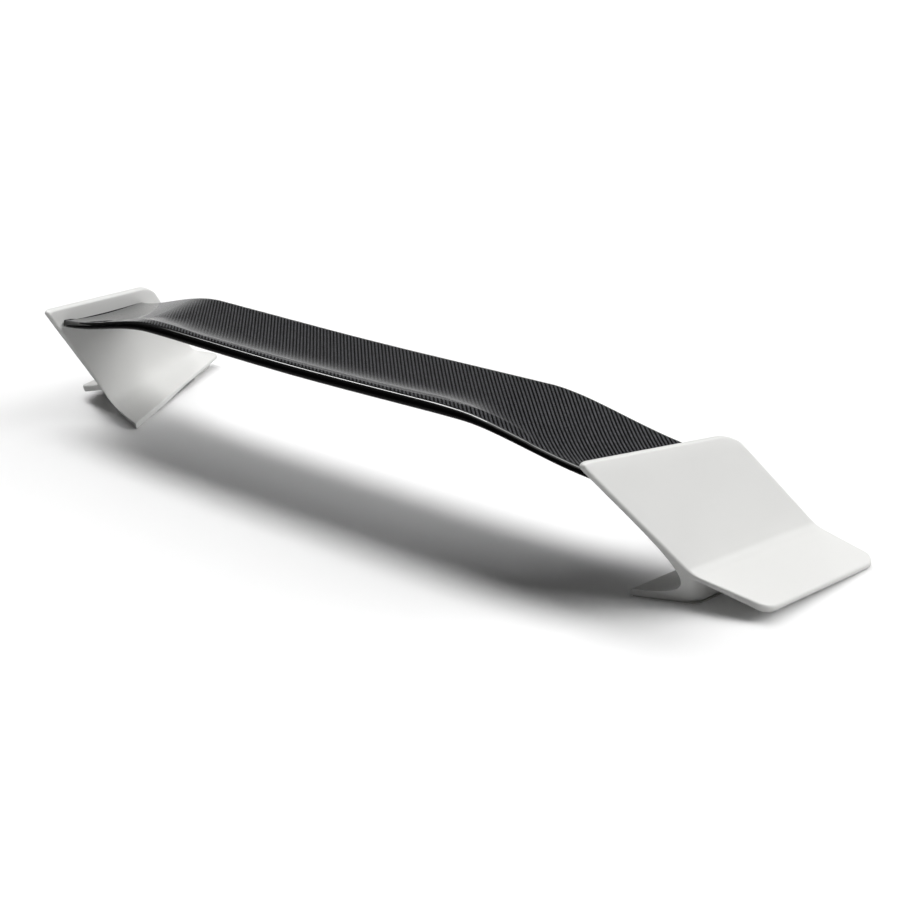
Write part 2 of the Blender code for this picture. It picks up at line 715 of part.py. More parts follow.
def build_tip_joint(stand):
    """Make the gasket, screws and washers between a blade end and its stand."""
    tip = BladeSection(stand.side * 1.0)
    face = tip.hollow(TIP_GASKET_INSET, *TIP_GASKET_REACH, 14)
    layers = [[point + stand.out * step for point in face]
              for step in (CLEAR, CLEAR + TIP_GASKET_THICKNESS)]
    gasket = add_loft("tip_gasket_" + stand.name, layers, "rubber")
    seat = 3 * CLEAR + TIP_GASKET_THICKNESS + SHELL_WALL + BRACKET_THICKNESS
    holes = []
    for row, point in zip(ROWS, screw_points(stand)):
        label = "%s_%s" % (row, stand.name)
        washer_low = point + stand.out * (seat + CLEAR)
        washer_top = washer_low + stand.out * WASHER_THICKNESS
        head_low = washer_top + stand.out * CLEAR
        head_top = head_low + stand.out * SCREW_HEAD_HEIGHT
        end = point - stand.out * (RIB_RECESS + INSERT_LENGTH)
        hole = add_rod_cutter("screw_hole_" + label, head_top, end, SCREW_DIAMETER + 2 * HOLE_CLEAR)
        screw = add_rod("blade_screw_" + label, head_low, head_top, SCREW_HEAD_DIAMETER, "steel")
        shank = add_rod_cutter("screw_shank_" + label, head_low + stand.out * CLEAR, end, SCREW_DIAMETER)
        join = screw.modifiers.new("join_shank", "BOOLEAN")
        join.operation = "UNION"
        join.solver = "EXACT"
        join.object = shank
        socket_low = head_top - stand.out * SCREW_SOCKET_DEPTH
        cut(screw, add_rod_cutter("screw_socket_" + label, socket_low, head_top + stand.out * CUT_PAST,
                                  SCREW_SOCKET, 6))
        washer = add_rod("screw_washer_" + label, washer_low, washer_top, WASHER_DIAMETER, "steel")
        for piece in (gasket, washer):
            cut(piece, hole)
        holes.append(hole)
    return holes


def build_stand(stand):
    """Make one stand's shells, bracket, base and foot hardware."""
    distances = stand_stations(stand)
    outer = add_loft("stand_outer_shell_" + stand.name,
                     [outer_section(stand, distance) for distance in distances], "paint")
    inner = add_loft("stand_inner_shell_" + stand.name,
                     [inner_section(stand, distance) for distance in distances], "paint")
    screw_holes = build_tip_joint(stand)
    deep = FIN_THICKNESS / 2 - SHELL_WALL
    pocket = []
    for share in (POCKET_REAR, POCKET_FRONT):
        top = pocket_top(stand, share)
        rim = ((top, deep), (NECK_TOP, deep), (NECK_TOP, -FOOT_WALL), (top, -FOOT_WALL))
        pocket.append([stand.fin(share, down, offset) for down, offset in rim])
    cut(outer, add_cutter("head_pocket_" + stand.name, mesh_from("pocket", loft(pocket))))
    cavity = [cavity_section(stand, share) for share in np.linspace(POCKET_REAR, POCKET_FRONT, 5)]
    cut(inner, add_cutter("foot_cavity_" + stand.name, mesh_from("cavity", loft(cavity))))
    recess = [base_outline(stand, -CLEAR, z) for z in
              (-FOOT_WALL, stand.base_z + BASE_THICKNESS + CLEAR / 2)]
    cut(inner, add_cutter("base_recess_" + stand.name, mesh_from("recess", loft(recess))))
    edge = BRACKET_END_GAP / stand.length
    strip = [thicken(bracket_path(stand, share), BRACKET_THICKNESS)
             for share in np.linspace(POCKET_REAR + edge, POCKET_FRONT - edge, 6)]
    bracket = add_loft("stand_core_bracket_" + stand.name, strip, "steel")
    for hole in screw_holes:
        cut(inner, hole)
        cut(bracket, hole)
    base = add_loft("stand_base_plate_" + stand.name,
                    [base_outline(stand, 0.0, z) for z in (stand.base_z, stand.base_z + BASE_THICKNESS)],
                    "aluminium")
    pad = add_loft("foot_gasket_" + stand.name,
                   [gasket_section(stand, distance) for distance in distances], "rubber")
    for row, share in zip(ROWS, NUT_STATIONS):
        path = bracket_path(stand, share)
        seat = (path[2] + path[3]) / 2
        seat[2] += BRACKET_THICKNESS / 2 + CLEAR
        top = seat + (0.0, 0.0, NUT_HEIGHT)
        label = "%s_%s" % (row, stand.name)
        across = NUT_ACROSS_FLATS / math.cos(math.radians(30))
        nut = add_rod("foot_weld_nut_" + label, seat, top, across, "steel", 6)
        below = np.array((seat[0], seat[1], -CUT_PAST))
        bolt_hole = add_rod_cutter("foot_bolt_hole_" + label, below, top + (0.0, 0.0, CUT_PAST), BOLT_HOLE)
        for piece in (base, pad, bracket, nut):
            cut(piece, bolt_hole)


RIGHT = Stand(1)
LEFT = Stand(-1)
build_blade()
for each in (RIGHT, LEFT):
    build_stand(each)
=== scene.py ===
"""Looks of a boot-lid rear wing: a clear-coated carbon blade between two satin white stands.

Metres, +Z up, +X to the car's right, +Y forwards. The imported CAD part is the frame. The
blade's skins and the stands' shells are redrawn here as finer surfaces on the same lines,
and the hidden hardware keeps its CAD solids with finishes of its own.
"""

import json
import logging
import math
from dataclasses import dataclass, field
from enum import Enum

import bmesh
import bpy
import numpy as np
from mathutils import Matrix, Vector
from mathutils.geometry import tessellate_polygon


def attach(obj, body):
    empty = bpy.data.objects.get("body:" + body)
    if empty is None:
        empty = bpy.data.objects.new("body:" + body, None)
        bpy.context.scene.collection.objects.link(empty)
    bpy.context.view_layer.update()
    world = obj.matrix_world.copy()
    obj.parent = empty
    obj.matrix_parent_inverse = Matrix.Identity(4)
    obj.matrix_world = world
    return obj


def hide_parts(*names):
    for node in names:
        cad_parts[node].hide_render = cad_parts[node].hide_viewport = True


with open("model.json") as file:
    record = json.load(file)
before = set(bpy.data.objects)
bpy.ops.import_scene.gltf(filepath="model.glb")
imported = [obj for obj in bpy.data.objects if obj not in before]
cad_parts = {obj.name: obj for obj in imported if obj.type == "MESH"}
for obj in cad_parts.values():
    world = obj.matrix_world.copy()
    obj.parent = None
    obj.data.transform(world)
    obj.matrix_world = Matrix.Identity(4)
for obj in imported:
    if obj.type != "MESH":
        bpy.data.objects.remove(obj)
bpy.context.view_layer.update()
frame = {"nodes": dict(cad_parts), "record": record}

LOG = logging.getLogger("rear_wing")
WEAVE_MAP = "weave"
XZ_AXES = (0, 2)
YZ_AXES = (1, 2)
SMOOTH_LIMIT = math.radians(38)
Outline = list[np.ndarray]


class Side(Enum):
    """Which side of the car a piece is on, with the sign of its x."""

    RIGHT = 1
    LEFT = -1

    @property
    def label(self) -> str:
        """Name used in the nodes."""
        return self.name.lower()


def linear(code: str) -> tuple[float, float, float, float]:
    """Turn an sRGB hex colour into a linear one.

    Args:
        code: colour as "#rrggbb".

    Returns:
        Linear red, green, blue and an alpha of one.
    """
    parts = [int(code[place:place + 2], 16) / 255 for place in (1, 3, 5)]
    low = [part / 12.92 if part <= 0.04045 else ((part + 0.055) / 1.055) ** 2.4 for part in parts]
    return (low[0], low[1], low[2], 1.0)


def add_node(tree: bpy.types.NodeTree, kind: str, settings: dict | None = None,
             links: dict | None = None) -> bpy.types.Node:
    """Add a shader node with its settings and links.

    Args:
        tree: node tree that gets the node.
        kind: Blender's name for the node.
        settings: values by property name, input name or input number.
        links: output sockets by input name or number.

    Returns:
        The new node.
    """
    node = tree.nodes.new(kind)
    for name, value in (settings or {}).items():
        if isinstance(name, int) or name in node.inputs:
            node.inputs[name].default_value = value
        else:
            setattr(node, name, value)
    for name, socket in (links or {}).items():
        tree.links.new(socket, node.inputs[name])
    return node


def new_material(name: str) -> tuple[bpy.types.Material, bpy.types.NodeTree, bpy.types.Node]:
    """Make a Principled material.

    Args:
        name: the material's name.

    Returns:
        The material, its node tree and its shader.
    """
    material = bpy.data.materials.new(name)
    material.use_nodes = True
    return material, material.node_tree, material.node_tree.nodes["Principled BSDF"]


@dataclass(frozen=True)
class TwillCarbon:
    """Woven carbon in clear epoxy, polished: near-black tows in diagonal ribs, whose sheen, and the shade
    across each tow and on the heel, are painted into the colour.
    """

    name: str = "carbon_two_by_two_twill_clear_coated"
    tow_mm: float = 1.7
    float_tows: int = 2
    # Painted sheen: tows along the span take a light colour and the turned tows a near-black one, in place of
    # the fibres' directional sheen
    tow_lit: str = "#6C6D70"
    tow_turned_shade: str = "#080809"
    # Painted shade towards the edges of each tow
    tow_edge_shade: str = "#040404"
    cell_least: float = 0.55
    # Painted shade on faces turned towards the rear, and the range of normals over which it fades in
    heel_painted_shade: str = "#030303"
    heel_shade_turns: tuple[float, float] = (0.0, 0.3)
    rough_lit: float = 0.45
    rough_turned: float = 0.60
    tow_gloss: float = 0.05
    tow_relief: float = 0.00012
    relief_strength: float = 0.5
    coat_rough: float = 0.03
    resin_ior: float = 1.5

    def build(self) -> bpy.types.Material:
        """Make the material, with warp along the span and weft along the chord."""
        material, tree, shader = new_material(self.name)
        tow = self.tow_mm / 1000
        place = add_node(tree, "ShaderNodeUVMap", {"uv_map": WEAVE_MAP}).outputs["UV"]
        grid = add_node(tree, "ShaderNodeVectorMath", {"operation": "DIVIDE", 1: (tow, tow, 1.0)}, {0: place})
        cell = add_node(tree, "ShaderNodeVectorMath", {"operation": "FLOOR"}, {0: grid.outputs[0]})
        inside = add_node(tree, "ShaderNodeVectorMath", {"operation": "FRACTION"}, {0: grid.outputs[0]})
        index = add_node(tree, "ShaderNodeSeparateXYZ", None, {0: cell.outputs[0]})
        across = add_node(tree, "ShaderNodeSeparateXYZ", None, {0: inside.outputs[0]})
        step = add_node(tree, "ShaderNodeMath", {"operation": "SUBTRACT"},
                        {0: index.outputs[0], 1: index.outputs[1]})
        turn = add_node(tree, "ShaderNodeMath", {"operation": "FLOORED_MODULO", 1: 2.0 * self.float_tows},
                        {0: step.outputs[0]})
        warp_up = add_node(tree, "ShaderNodeMath", {"operation": "LESS_THAN", 1: self.float_tows - 0.5},
                           {0: turn.outputs[0]}).outputs[0]
        over = add_node(tree, "ShaderNodeMix", {"data_type": "FLOAT"},
                        {0: warp_up, 2: across.outputs[0], 3: across.outputs[1]})
        half_turn = add_node(tree, "ShaderNodeMath", {"operation": "MULTIPLY", 1: math.pi},
                             {0: over.outputs[0]})
        crown = add_node(tree, "ShaderNodeMath", {"operation": "SINE"}, {0: half_turn.outputs[0]}).outputs[0]
        odd = add_node(tree, "ShaderNodeTexWhiteNoise", {"noise_dimensions": "2D"},
                       {"Vector": cell.outputs[0]})
        # Painted sheen: the light or the near-black tow colour, by which tow lies on top
        face = add_node(tree, "ShaderNodeMix", {"data_type": "RGBA", 6: linear(self.tow_turned_shade),
                                                7: linear(self.tow_lit)}, {0: warp_up})
        lift = add_node(tree, "ShaderNodeMapRange", {"To Min": self.cell_least, "To Max": 1.0},
                        {"Value": odd.outputs["Value"]})
        # Painted shade: the crown darkens each tow from its middle to its edges, down to the edge shade, times
        # a random tone per cell; the same crown gives the bump
        shown = add_node(tree, "ShaderNodeMath", {"operation": "MULTIPLY"}, {0: crown, 1: lift.outputs[0]})
        colour = add_node(tree, "ShaderNodeMix", {"data_type": "RGBA", 6: linear(self.tow_edge_shade)},
                          {0: shown.outputs[0], 7: face.outputs[2]})
        # Painted shade: faces turned towards the rear, as on the trailing edge's heel, go near black over the
        # weave, in place of the dark reflection there; the clear mask is one on the other faces
        turned = add_node(tree, "ShaderNodeSeparateXYZ", None,
                          {0: add_node(tree, "ShaderNodeNewGeometry").outputs["Normal"]})
        least, most = self.heel_shade_turns
        clear = add_node(tree, "ShaderNodeMapRange", {"From Min": -most, "From Max": -least},
                         {"Value": turned.outputs[1]})
        colour = add_node(tree, "ShaderNodeMix", {"data_type": "RGBA", 6: linear(self.heel_painted_shade)},
                          {0: clear.outputs[0], 7: colour.outputs[2]})
        rough = add_node(tree, "ShaderNodeMix", {"data_type": "FLOAT", 2: self.rough_turned,
                                                 3: self.rough_lit}, {0: warp_up})
        relief = add_node(tree, "ShaderNodeBump",
                          {"Strength": self.relief_strength, "Distance": self.tow_relief}, {"Height": crown})
        tree.links.new(colour.outputs[2], shader.inputs["Base Color"])
        tree.links.new(rough.outputs[0], shader.inputs["Roughness"])
        tree.links.new(relief.outputs[0], shader.inputs["Normal"])
        shader.inputs["IOR"].default_value = self.resin_ior
        shader.inputs["Specular IOR Level"].default_value = self.tow_gloss
        shader.inputs["Coat Weight"].default_value = 1.0
        shader.inputs["Coat Roughness"].default_value = self.coat_rough
        shader.inputs["Coat IOR"].default_value = self.resin_ior
        return material


@dataclass(frozen=True)
class SatinPaint:
    """Sprayed two-pack paint on moulded shells: soft white sheen with a faint orange peel."""

    name: str = "polyurethane_paint_sprayed_satin_white"
    light: str = "#E7E7E5"
    dark: str = "#E2E2E0"
    cloud_mm: float = 90.0
    cloud_detail: float = 3.0
    peel_mm: float = 2.2
    peel_detail: float = 1.0
    peel_relief: float = 0.00005
    peel_strength: float = 0.35
    rough_low: float = 0.36
    rough_high: float = 0.44
    ior: float = 1.48

    def build(self) -> bpy.types.Material:
        """Make the material."""
        material, tree, shader = new_material(self.name)
        place = add_node(tree, "ShaderNodeTexCoord").outputs["Object"]
        cloud = add_node(tree, "ShaderNodeTexNoise",
                         {"Scale": 1000 / self.cloud_mm, "Detail": self.cloud_detail}, {"Vector": place})
        peel = add_node(tree, "ShaderNodeTexNoise",
                        {"Scale": 1000 / self.peel_mm, "Detail": self.peel_detail}, {"Vector": place})
        colour = add_node(tree, "ShaderNodeMix", {"data_type": "RGBA", 6: linear(self.dark),
                                                  7: linear(self.light)}, {0: cloud.outputs[0]})
        rough = add_node(tree, "ShaderNodeMapRange", {"To Min": self.rough_low, "To Max": self.rough_high},
                         {"Value": cloud.outputs[0]})
        relief = add_node(tree, "ShaderNodeBump",
                          {"Strength": self.peel_strength, "Distance": self.peel_relief},
                          {"Height": peel.outputs[0]})
        tree.links.new(colour.outputs[2], shader.inputs["Base Color"])
        tree.links.new(rough.outputs[0], shader.inputs["Roughness"])
        tree.links.new(relief.outputs[0], shader.inputs["Normal"])
        shader.inputs["IOR"].default_value = self.ior
        return material


@dataclass(frozen=True)
class GrainFinish:
    """A plain stock material whose surface shows the grain of how it was made."""

    name: str
    light: str
    dark: str
    grain_mm: tuple[float, float, float]
    relief: float
    rough_low: float
    rough_high: float
    metallic: float = 0.0
    detail: float = 4.0
    relief_strength: float = 0.4

    def build(self) -> bpy.types.Material:
        """Make the material."""
        material, tree, shader = new_material(self.name)
        place = add_node(tree, "ShaderNodeTexCoord").outputs["Object"]
        spread = add_node(tree, "ShaderNodeMapping",
                          {"Scale": tuple(1000 / size for size in self.grain_mm)}, {"Vector": place})
        grain = add_node(tree, "ShaderNodeTexNoise", {"Scale": 1.0, "Detail": self.detail},
                         {"Vector": spread.outputs[0]})
        colour = add_node(tree, "ShaderNodeMix", {"data_type": "RGBA", 6: linear(self.dark),
                                                  7: linear(self.light)}, {0: grain.outputs[0]})
        rough = add_node(tree, "ShaderNodeMapRange", {"To Min": self.rough_low, "To Max": self.rough_high},
                         {"Value": grain.outputs[0]})
        relief = add_node(tree, "ShaderNodeBump", {"Strength": self.relief_strength, "Distance": self.relief},
                          {"Height": grain.outputs[0]})
        tree.links.new(colour.outputs[2], shader.inputs["Base Color"])
        tree.links.new(rough.outputs[0], shader.inputs["Roughness"])
        tree.links.new(relief.outputs[0], shader.inputs["Normal"])
        shader.inputs["Metallic"].default_value = self.metallic
        return material


# Finish of each hidden node, by the record's material slot. The laminate's print, the nylon's
# grain and the foam's cells are finer than this on the real pieces, and are drawn this coarse.
HARDWARE_FINISHES = {
    # Peel-ply leaves cured laminate matt, with a fine cross print
    "spar_laminate": GrainFinish("carbon_laminate_peel_ply", "#3A3A3C", "#262628", (0.6, 0.6, 0.6),
                                 0.00006, 0.55, 0.75),
    # Glass-filled nylon comes from the mould with a dull spark-eroded grain
    "nylon_rib": GrainFinish("nylon_glass_filled_moulded", "#3C3C3C", "#2C2C2C", (0.5, 0.5, 0.5),
                             0.00005, 0.5, 0.65),
    # Turned brass keeps fine rings from the tool
    "brass_insert": GrainFinish("brass_turned", "#D9B46A", "#BF9850", (0.15, 2.0, 2.0),
                                0.00002, 0.28, 0.4, 1.0),
    # Sheet rubber is cut with a matt, dusty face
    "rubber_gasket": GrainFinish("rubber_sheet_cut", "#262626", "#1A1A1A", (0.8, 0.8, 0.8),
                                 0.00008, 0.75, 0.9),
    # Zinc plate on steel is bright, with a cloudy passivated bloom
    "zinc_steel": GrainFinish("steel_zinc_plated", "#D2D2CC", "#B4B4AE", (6.0, 6.0, 6.0),
                              0.00002, 0.3, 0.42, 1.0),
    # Rolled plate keeps long drawn lines
    "aluminium_plate": GrainFinish("aluminium_rolled_plate", "#DADBDC", "#C4C6C8", (12.0, 0.3, 0.3),
                                   0.00002, 0.32, 0.45, 1.0),
}

# Closed-cell foam is pale and soft, with its cells cut open
FOOT_FOAM = GrainFinish("foam_sheet_closed_cell_white", "#DCDCD8", "#CFCFCA", (0.7, 0.7, 0.7),
                        0.0001, 0.8, 0.95)


def unit(vector: np.ndarray) -> np.ndarray:
    """Scale a vector to length one."""
    return np.asarray(vector, dtype=float) / np.linalg.norm(vector)


def smooth(value: float) -> float:
    """Ease from 0 to 1 with level ends."""
    held = min(max(value, 0.0), 1.0)
    return held * held * (3.0 - 2.0 * held)


def arc(start: int, end: int, step: int) -> list[float]:
    """Angles in radians from one whole degree to another, both included."""
    return [math.radians(angle) for angle in range(start, end + int(math.copysign(1, step)), step)]


def line(start: np.ndarray, end: np.ndarray, count: int) -> Outline:
    """Points between two ends, without the ends."""
    return [start + (end - start) * part for part in np.linspace(0.0, 1.0, count + 2)[1:-1]]


def bezier(start: np.ndarray, control: np.ndarray, end: np.ndarray, count: int) -> Outline:
    """Points on a quadratic curve, both ends included."""
    steps = np.linspace(0.0, 1.0, count)
    return [(1 - u) ** 2 * start + 2 * u * (1 - u) * control + u * u * end for u in steps]


def round_off(distance: float, radius: float) -> float:
    """How far a rounded corner draws an edge in at a distance from the end."""
    near = max(radius - distance, 0.0)
    return radius - math.sqrt(max(radius ** 2 - near ** 2, 0.0))


def add_skin(name: str, outlines: list[Outline], marks: list[list[tuple[float, float]]] | None,
             cap_axes: tuple[int, int], finish: bpy.types.Material) -> bpy.types.Object:
    """Skin a row of closed outlines, close both ends and link the piece.

    Args:
        name: the piece's name.
        outlines: closed outlines with equal numbers of points.
        marks: weave places for each outline, one more than its points, or None.
        cap_axes: the two axes along which the end outlines are flat enough to be closed.
        finish: material of the piece.

    Returns:
        The new object, riding on the frame.
    """
    shape = bmesh.new()
    rings = [[shape.verts.new(point) for point in outline] for outline in outlines]
    weave = shape.loops.layers.uv.new(WEAVE_MAP)
    count = len(rings[0])
    for row in range(len(rings) - 1):
        for index in range(count):
            after = (index + 1) % count
            face = shape.faces.new((rings[row][index], rings[row][after],
                                    rings[row + 1][after], rings[row + 1][index]))
            if marks:
                spots = (marks[row][index], marks[row][index + 1],
                         marks[row + 1][index + 1], marks[row + 1][index])
                for loop, spot in zip(face.loops, spots):
                    loop[weave].uv = spot
    for ring in (rings[0], rings[-1]):
        flat = [Vector((vert.co[cap_axes[0]], vert.co[cap_axes[1]], 0.0)) for vert in ring]
        for corners in tessellate_polygon([flat]):
            shape.faces.new([ring[corner] for corner in corners])
    bmesh.ops.recalc_face_normals(shape, faces=shape.faces)
    mesh = bpy.data.meshes.new(name)
    shape.to_mesh(mesh)
    shape.free()
    mesh.shade_smooth()
    mesh.set_sharp_from_angle(angle=SMOOTH_LIMIT)
    mesh.materials.append(finish)
    piece = bpy.data.objects.new(name, mesh)
    bpy.context.scene.collection.objects.link(piece)
    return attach(piece, "root")


@dataclass
class Stand:
    """One stand: raked fin, outboard winglet and inboard foot, which meet along the kink."""

    side: Side
    kink_spacing: float = 1.156
    kink_rear_y: float = -0.0679
    kink_length: float = 0.229
    kink_toe_out: float = 0.045
    kink_height_rear: float = 0.0536
    kink_height_front: float = 0.0330
    fin_rise: float = 0.1904
    fin_lean_in: float = 0.068
    fin_rake_back: float = 0.126
    fin_top_length: float = 0.2455
    fin_top_fall: float = 0.0475
    fin_thickness: float = 0.012
    edge_round: float = 0.0045
    edge_least: float = 0.45
    winglet_reach_rear: float = 0.0974
    winglet_drop: float = 0.0337
    winglet_sweep_rear: float = 0.0273
    winglet_reach_front: float = 0.0887
    winglet_sweep_front: float = 0.0044
    winglet_thickness: float = 0.012
    kink_fillet: float = 0.012
    root_fillet: float = 0.004
    foot_reach_rear: float = 0.086
    foot_reach_front: float = 0.0415
    foot_set_back: float = 0.006
    foot_lead: float = 0.0325
    foot_edge_rear: float = 0.011
    foot_edge_front: float = 0.0217
    foot_undercut: float = 0.004
    foot_rake: float = 0.018
    foot_corner: float = 0.007
    foot_toe_round: float = 0.014
    foot_edge_round: float = 0.0016
    foot_rim: float = 0.005
    foot_relief: float = 0.017
    foot_relief_run: float = 0.55
    foot_bottom: float = 0.0023
    gasket_thick: float = 0.002
    gasket_inset: float = 0.001
    flare_start: float = 0.42
    flare_aim: float = 1.15
    flare_toe: float = 1.034
    flare_lift: float = 0.0122
    flare_forward: float = 0.006
    corner_rear: float = 0.016
    corner_front: float = 0.024
    station_span: tuple[float, float] = (0.08, 0.88)
    station_count: int = 22
    station_gap: float = 0.00012
    flare_points: int = 30
    flat_points: tuple[int, ...] = (8, 6, 6, 3, 5, 6)
    ends: dict[str, tuple[np.ndarray, np.ndarray]] = field(init=False, repr=False)
    out: np.ndarray = field(init=False, repr=False)
    wing_up: np.ndarray = field(init=False, repr=False)
    length: float = field(init=False)

    def __post_init__(self) -> None:
        """Work out the stand's lines and planes."""
        flip = np.array((self.side.value, 1.0, 1.0))
        kink_x = self.kink_spacing / 2
        rear = np.array((kink_x, self.kink_rear_y, self.kink_height_rear))
        front = rear + (self.kink_toe_out, self.kink_length, self.kink_height_front - self.kink_height_rear)
        top_rear = rear + (-self.fin_lean_in, -self.fin_rake_back, self.fin_rise)
        normal = unit(np.cross(front - rear, top_rear - rear))
        top_front = top_rear + (0.0, self.fin_top_length, -self.fin_top_fall)
        top_front[0] -= normal @ (top_front - top_rear) / normal[0]
        tip_rear = rear + (self.winglet_reach_rear, self.winglet_sweep_rear, -self.winglet_drop)
        wing = unit(np.cross(tip_rear - rear, front - rear))
        tip_front = front + (self.winglet_reach_front, self.winglet_sweep_front, 0.0)
        tip_front[2] -= wing @ (tip_front - rear) / wing[2]
        foot_rear = np.array((kink_x - self.foot_reach_rear, self.kink_rear_y - self.foot_set_back,
                              self.foot_edge_rear))
        foot_front = np.array((front[0] - self.foot_reach_front, front[1] + self.foot_lead,
                               self.foot_edge_front))
        self.ends = {
            "kink": (rear * flip, front * flip),
            "top": (top_rear * flip, top_front * flip),
            "tip": (tip_rear * flip, tip_front * flip),
            "foot": (foot_rear * flip, foot_front * flip),
        }
        self.out = normal * flip * math.copysign(1.0, normal[0])
        self.wing_up = wing * flip * math.copysign(1.0, wing[2])
        self.length = float(np.linalg.norm(front - rear))

    def at(self, name: str, share: float) -> np.ndarray:
        """Point on one of the stand's lines, from 0 at the rear to 1 at the front."""
        rear, front = self.ends[name]
        return rear + (front - rear) * share

    def mitre(self, share: float, from_fin: float, from_wing: float) -> np.ndarray:
        """Step inside a section's plane to given offsets from the fin's and winglet's planes.

        Args:
            share: place along the kink, 0 at the rear.
            from_fin: offset from the fin's plane, outboard.
            from_wing: offset from the winglet's plane, upwards.

        Returns:
            The step from the kink.
        """
        kink = self.at("kink", share)
        across = unit(np.cross(self.at("top", share) - kink, self.at("tip", share) - kink))
        planes = np.array((self.out, self.wing_up, across))
        return np.linalg.solve(planes, (from_fin, from_wing, 0.0))

    def fin_plane_x(self, y: float, z: float, offset: float) -> float:
        """X where a plane parallel to the fin passes a given y and z."""
        point = self.ends["kink"][0] + self.out * offset
        rest = self.out[1] * (y - point[1]) + self.out[2] * (z - point[2])
        return float(point[0] - rest / self.out[0])

    def corner_cut(self, distance: float) -> float:
        """How far the rounded corners draw the fin's top and the winglet's tip in."""
        return round_off(distance, self.corner_rear) + round_off(self.length - distance, self.corner_front)

    def sole(self, distance: float) -> tuple[np.ndarray, np.ndarray]:
        """The two edges of the foot, at a distance along the kink.

        Args:
            distance: distance from the rear end of the kink.

        Returns:
            The upper point of the inboard edge and the lowest point outboard.
        """
        share = distance / self.length
        inboard = self.at("foot", share)
        outboard = self.at("kink", share) + self.mitre(share, 0.0, -self.winglet_thickness / 2)
        outboard += (-self.side.value * self.foot_undercut, self.foot_rake * (1.0 - share), 0.0)
        outboard[2] = self.foot_bottom
        across = unit((outboard - inboard) * (1.0, 1.0, 0.0))
        toe_in = round_off(self.length - distance, self.foot_toe_round)
        return inboard + across * toe_in, outboard - across * round_off(distance, self.corner_rear)

    def arch(self, distance: float) -> np.ndarray:
        """Inboard edge of the sole, which draws back under the rim towards the front."""
        foot, pedestal = self.sole(distance)
        across = unit((pedestal - foot) * (1.0, 1.0, 0.0))
        eased = min(distance / self.length / self.foot_relief_run, 1.0)
        return np.array((foot[0], foot[1], self.foot_bottom)) + across * self.foot_relief * eased

    def flare(self, share: float, half_fin: float, foot: np.ndarray) -> tuple[Outline, Outline]:
        """Rounded edge of the foot, and the curve from it up to the fin's inboard face.

        Args:
            share: place along the kink, 0 at the rear.
            half_fin: half the fin's thickness here.
            foot: upper point of the foot's inboard edge.

        Returns:
            The points of the edge, and those of the curve.
        """
        kink, top = self.at("kink", share), self.at("top", share)
        reach = abs(kink[0] - foot[0]) * self.flare_toe
        toe = np.array((foot[0] + self.side.value * reach, kink[1] + self.flare_forward * (1.0 - share),
                        foot[2] + self.flare_lift))
        aim = top + (kink - top) * self.flare_aim - self.out * half_fin
        start = top + (kink - top) * self.flare_start - self.out * half_fin
        first = self.foot_edge_round / (3.0 * float(np.linalg.norm(toe - foot)))
        curve = [(1 - u) ** 3 * foot + 3 * u * (1 - u) ** 2 * toe + 3 * u * u * (1 - u) * aim + u ** 3 * start
                 for u in np.linspace(first, 1.0, self.flare_points)]
        low = foot - np.array((0.0, 0.0, self.foot_edge_round))
        return bezier(low, foot, curve[0], 6), curve[1:]

    def edge_share(self, distance: float) -> float:
        """Share of the full thickness left near the rounded rear and front edges."""
        gap = min(distance, self.length - distance)
        if gap >= self.edge_round:
            return 1.0
        curve = math.sqrt(max(1.0 - (1.0 - gap / self.edge_round) ** 2, 0.0))
        return self.edge_least + (1.0 - self.edge_least) * curve

    def stations(self) -> list[float]:
        """Distances along the kink at which outlines are taken, closer at the rounded ends."""
        found = {self.length * part for part in np.linspace(*self.station_span, self.station_count)}
        for turn in arc(0, 90, 10):
            for radius in (self.edge_round, self.corner_rear):
                found.add(radius * (1 - math.cos(turn)))
            for radius in (self.edge_round, self.foot_toe_round, self.corner_front):
                found.add(self.length - radius * (1 - math.cos(turn)))
        kept: list[float] = []
        for distance in sorted(found):
            if not kept or distance - kept[-1] > self.station_gap or distance == self.length:
                kept.append(distance)
        return kept

    def outline(self, distance: float) -> Outline:
        """Closed outline of the stand, from the fin's top down its outboard face and back up inside.

        Args:
            distance: distance along the kink from its rear end.

        Returns:
            The outline's points.
        """
        share = distance / self.length
        thin = self.edge_share(distance)
        draw_in = self.corner_cut(distance)
        half_fin = self.fin_thickness / 2 * thin
        half_wing = self.winglet_thickness / 2 * thin
        kink = self.at("kink", share)
        top_line = self.at("top", share)
        down = unit(kink - top_line)
        outboard = unit(self.at("tip", share) - kink)
        top = top_line + down * draw_in
        tip = self.at("tip", share) - outboard * draw_in
        corner = kink + self.mitre(share, half_fin, half_wing)
        root = kink + self.mitre(share, 0.0, -half_wing)
        foot, pedestal = self.sole(distance)
        foot_low = np.array((foot[0], foot[1], self.foot_bottom))
        eased = min(share / self.foot_relief_run, 1.0)
        rim_low = foot_low + np.array((0.0, 0.0, (foot[2] - self.foot_rim - self.foot_bottom) * eased))
        arch_low = self.arch(distance)
        arch = np.array((arch_low[0], arch_low[1], rim_low[2]))
        quarter = arc(0, 90, 15)
        outer = [top + down * self.edge_round * (1 - math.cos(a)) + self.out * half_fin * math.sin(a)
                 for a in quarter]
        fillet = bezier(corner - down * self.kink_fillet, corner, corner + outboard * self.kink_fillet, 9)
        edge = [tip - outboard * self.edge_round * (1 - math.cos(a)) + self.wing_up * half_wing * math.sin(a)
                for a in arc(90, -90, -15)]
        fall = unit(pedestal - root)
        under = bezier(root + outboard * self.root_fillet, root, root + fall * self.root_fillet, 5)
        inwards = np.array((-self.side.value, 0.0, 0.0))
        heel = bezier(pedestal - fall * self.foot_corner, pedestal, pedestal + inwards * self.foot_corner, 6)
        lip, sweep = self.flare(share, half_fin, foot)
